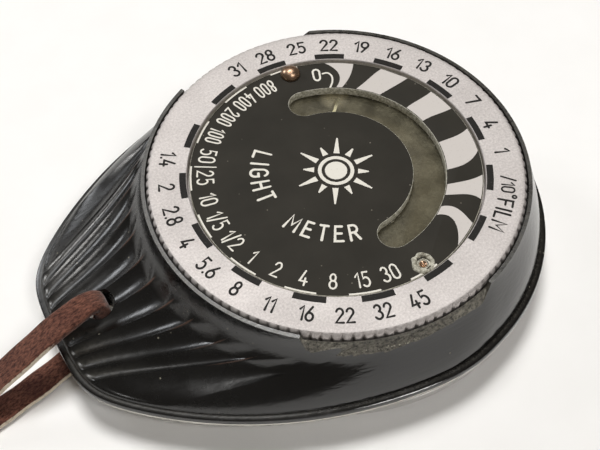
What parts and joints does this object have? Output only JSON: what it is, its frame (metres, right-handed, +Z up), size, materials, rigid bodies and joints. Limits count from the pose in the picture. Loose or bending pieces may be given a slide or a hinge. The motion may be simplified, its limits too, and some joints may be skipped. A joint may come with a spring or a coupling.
{
  "type": "selenium light meter",
  "caption": "Pocket selenium light meter: black fluted case, turning calculator ring, arc window with a moving-coil needle, cell in the back, wrist lace.",
  "frame": {"origin": "on the dial's axis, at the plane that the back rests on", "axes": "+Z up through the dial, +X towards the round head, the fluted tail along -X"},
  "size_m": [0.1712, 0.0596, 0.0173],
  "materials": {
    "bakelite": "polished black phenolic moulding",
    "plate_metal": "thin rolled sheet, satin",
    "chromed": "bright plated pressing",
    "screw_steel": "plated steel screws",
    "gasket_rubber": "matt",
    "clear_lens": "clear moulded lens plate",
    "black_card": "matt black",
    "brass_part": "turned or stamped brass",
    "selenium_plate": "selenium layer on a steel disc",
    "spring_bronze": "phosphor bronze strip",
    "paxolin": "laminated fibre board",
    "ring_aluminium": "satin anodised with black filled figures",
    "spring_steel": "spring steel",
    "dial_black": "matt black with white figures",
    "copper_rivet": "tarnished copper alloy",
    "clear_celluloid": "slightly yellowed clear sheet",
    "scale_paint": "dull olive brown",
    "magnet_alloy": "ground cast magnet alloy",
    "soft_iron": "nickel flashed soft iron",
    "coil_former": "thin strip",
    "copper_wire": "enamelled copper wire",
    "needle_paint": "pale cream",
    "ruby": "synthetic ruby in its screw",
    "resistor_lacquer": "green lacquer",
    "lead_sleeve": "red cotton-covered lead",
    "lace_leather": "suede lace, reddish brown, pale cut edges"
  },
  "bodies": {
    "case": {"upper_shell": "bakelite", "back_plate": "plate_metal", "case_screws": "screw_steel", "cell_bezel": "chromed", "bezel_rivets": "screw_steel", "window_gasket": "gasket_rubber", "cell_window": "clear_lens", "light_baffle": "black_card", "contact_ring": "brass_part", "selenium_cell": "selenium_plate", "contact_spring": "spring_bronze", "insulating_disc": "paxolin", "ring_spring": "spring_steel", "dial_plate": "dial_black", "dial_rivets": "copper_rivet", "dial_window": "clear_celluloid", "scale_plate": "scale_paint", "scale_spacers": "brass_part", "scale_screws": "screw_steel", "mounting_plate": "brass_part", "mounting_screws": "screw_steel", "magnet": "magnet_alloy", "pole_pieces": "soft_iron", "iron_core": "soft_iron", "core_bracket": "brass_part", "upper_hairspring": "spring_bronze", "lower_hairspring": "spring_bronze", "needle_stops": "gasket_rubber", "upper_bridge": "brass_part", "lower_bridge": "brass_part", "bridge_spacers": "brass_part", "bridge_screws": "screw_steel", "upper_jewel": "ruby", "lower_jewel": "ruby", "terminal_board": "paxolin", "solder_tags": "brass_part", "trim_resistor": "resistor_lacquer", "lead_wires": "lead_sleeve", "lace": "lace_leather"},
    "calculator_ring": {"calculator_ring": "ring_aluminium"},
    "needle_coil": {"coil_frame": "coil_former", "coil_winding": "copper_wire", "upper_staff": "spring_steel", "lower_staff": "spring_steel", "needle": "needle_paint", "balance_weights": "brass_part"},
    "zero_arm": {"zero_adjuster": "brass_part"}
  },
  "joints": [
    {"name": "ring_turn", "type": "hinge", "parent": "case", "child": "calculator_ring", "pos_m": [0, 0, 0.015], "axis": [0, 0, 1], "continuous": true},
    {"name": "needle_swing", "type": "hinge", "parent": "case", "child": "needle_coil", "pos_m": [-0.005, 0, 0.0132], "axis": [0, 0, 1], "range_deg": [-92, 4], "stiffness_Nm_per_rad": 0.00002},
    {"name": "zero_turn", "type": "hinge", "parent": "case", "child": "zero_arm", "pos_m": [-0.005, 0, 0.0144], "axis": [0, 0, 1], "range_deg": [-10, 10]}
  ]
}
